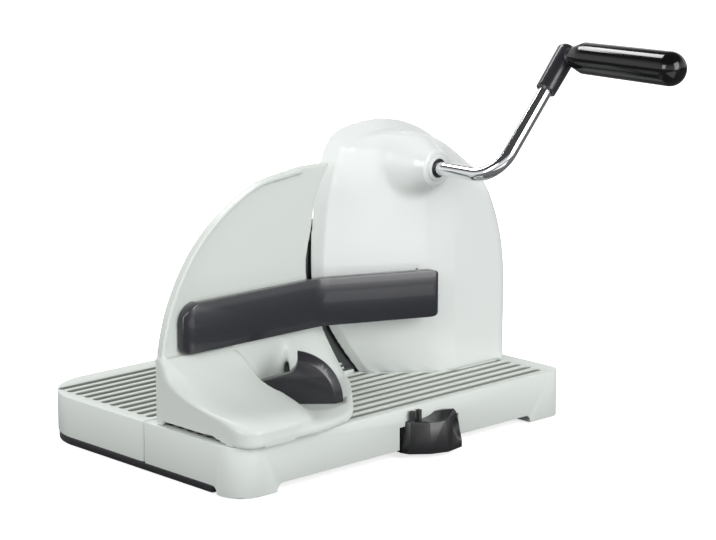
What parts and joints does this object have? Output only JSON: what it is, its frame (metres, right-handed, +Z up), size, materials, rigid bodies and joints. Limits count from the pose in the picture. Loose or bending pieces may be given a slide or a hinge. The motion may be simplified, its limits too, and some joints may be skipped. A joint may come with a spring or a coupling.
{
  "type": "hand-cranked bread slicer",
  "caption": "Hand-cranked bread slicer: ribbed base, sliding carriage, geared round blade, adjustable stop plate with guide bar, suction foot.",
  "frame": {"origin": "centre of the base's rectangular footprint, on the table plane under the rubber pads", "axes": "+X away from the operator along the base, in the direction that the carriage pushes the loaf; +Y from the crank side to the carriage side, along the crank and blade axes; +Z up"},
  "size_m": [0.316, 0.3463, 0.2828],
  "materials": {
    "white_plastic": "satin white moulded plastic",
    "gloss_white": "glossy white moulded plastic",
    "black_plastic": "satin charcoal moulded plastic",
    "black_gloss": "glossy black moulded plastic",
    "nylon": "natural nylon",
    "rubber": "matt rubber",
    "steel": "plain steel",
    "blade_steel": "ground stainless steel",
    "chrome": "polished chrome plate",
    "aluminium": "extruded, plain"
  },
  "bodies": {
    "base": {"base_tray": "white_plastic", "under_plate": "black_plastic", "rubber_feet": "rubber", "base_screws": "steel", "guide_rail": "aluminium", "stop_rods": "steel", "carriage_bed": "white_plastic", "gear_housing": "gloss_white", "housing_screws": "steel", "bearing_plate": "white_plastic", "bearing_screws": "steel", "crank_bush": "black_plastic", "crank_rear_bush": "nylon", "blade_bush": "nylon", "blade_rear_bush": "nylon", "idler_pin": "steel", "knob_pin": "steel"},
    "crank": {"crank_rod": "chrome", "crank_pinion": "nylon", "crank_socket": "black_plastic", "grip_pin": "steel"},
    "grip": {"crank_grip": "black_gloss"},
    "idler": {"idler_gear": "nylon"},
    "blade": {"blade": "blade_steel", "blade_gear": "nylon", "blade_shaft": "steel", "blade_screw": "steel"},
    "carriage": {"carriage_tray": "white_plastic", "guide_shoes": "nylon", "shoe_screws": "steel"},
    "stop": {"stop_plate": "white_plastic", "guide_bar": "black_plastic", "bar_screws": "steel", "slide_blocks": "nylon", "slide_screws": "steel", "lever_pin": "steel"},
    "lever": {"thickness_lever": "black_plastic"},
    "knob": {"suction_knob": "black_plastic"},
    "cup": {"suction_cup": "rubber", "suction_stem": "steel"}
  },
  "joints": [
    {"name": "crank_spin", "type": "hinge", "parent": "base", "child": "crank", "pos_m": [0.072, -0.017, 0.19075], "axis": [0, 1, 0], "continuous": true},
    {"name": "grip_spin", "type": "hinge", "parent": "crank", "child": "grip", "pos_m": [0.14304, -0.134, 0.27076], "axis": [0, 1, 0], "continuous": true},
    {"name": "idler_spin", "type": "hinge", "parent": "base", "child": "idler", "pos_m": [0.072, -0.022, 0.15775], "axis": [0, 1, 0], "continuous": true},
    {"name": "blade_spin", "type": "hinge", "parent": "base", "child": "blade", "pos_m": [0.072, -0.015, 0.1135], "axis": [0, 1, 0], "continuous": true},
    {"name": "carriage_slide", "type": "slide", "parent": "base", "child": "carriage", "axis": [1, 0, 0], "range_m": [0, 0.13]},
    {"name": "stop_slide", "type": "slide", "parent": "base", "child": "stop", "axis": [0, 1, 0], "range_m": [0, 0.00965]},
    {"name": "lever_swing", "type": "hinge", "parent": "stop", "child": "lever", "pos_m": [-0.06, -0.05565, 0.0385], "axis": [0, 0, -1], "range_deg": [0, 60]},
    {"name": "knob_turn", "type": "hinge", "parent": "base", "child": "knob", "pos_m": [0.019, -0.108, 0.01], "axis": [0, 0, 1], "range_deg": [0, 30]},
    {"name": "cup_lift", "type": "slide", "parent": "base", "child": "cup", "axis": [0, 0, 1], "range_m": [0, 0.002]}
  ],
  "couplings": [
    {"joint": "idler_spin", "follows": "crank_spin", "ratio": -0.83333},
    {"joint": "blade_spin", "follows": "crank_spin", "ratio": 0.57143},
    {"joint": "lever_swing", "follows": "stop_slide", "rad_per_m": 108},
    {"joint": "cup_lift", "follows": "knob_turn", "m_per_rad": 0.0038}
  ]
}
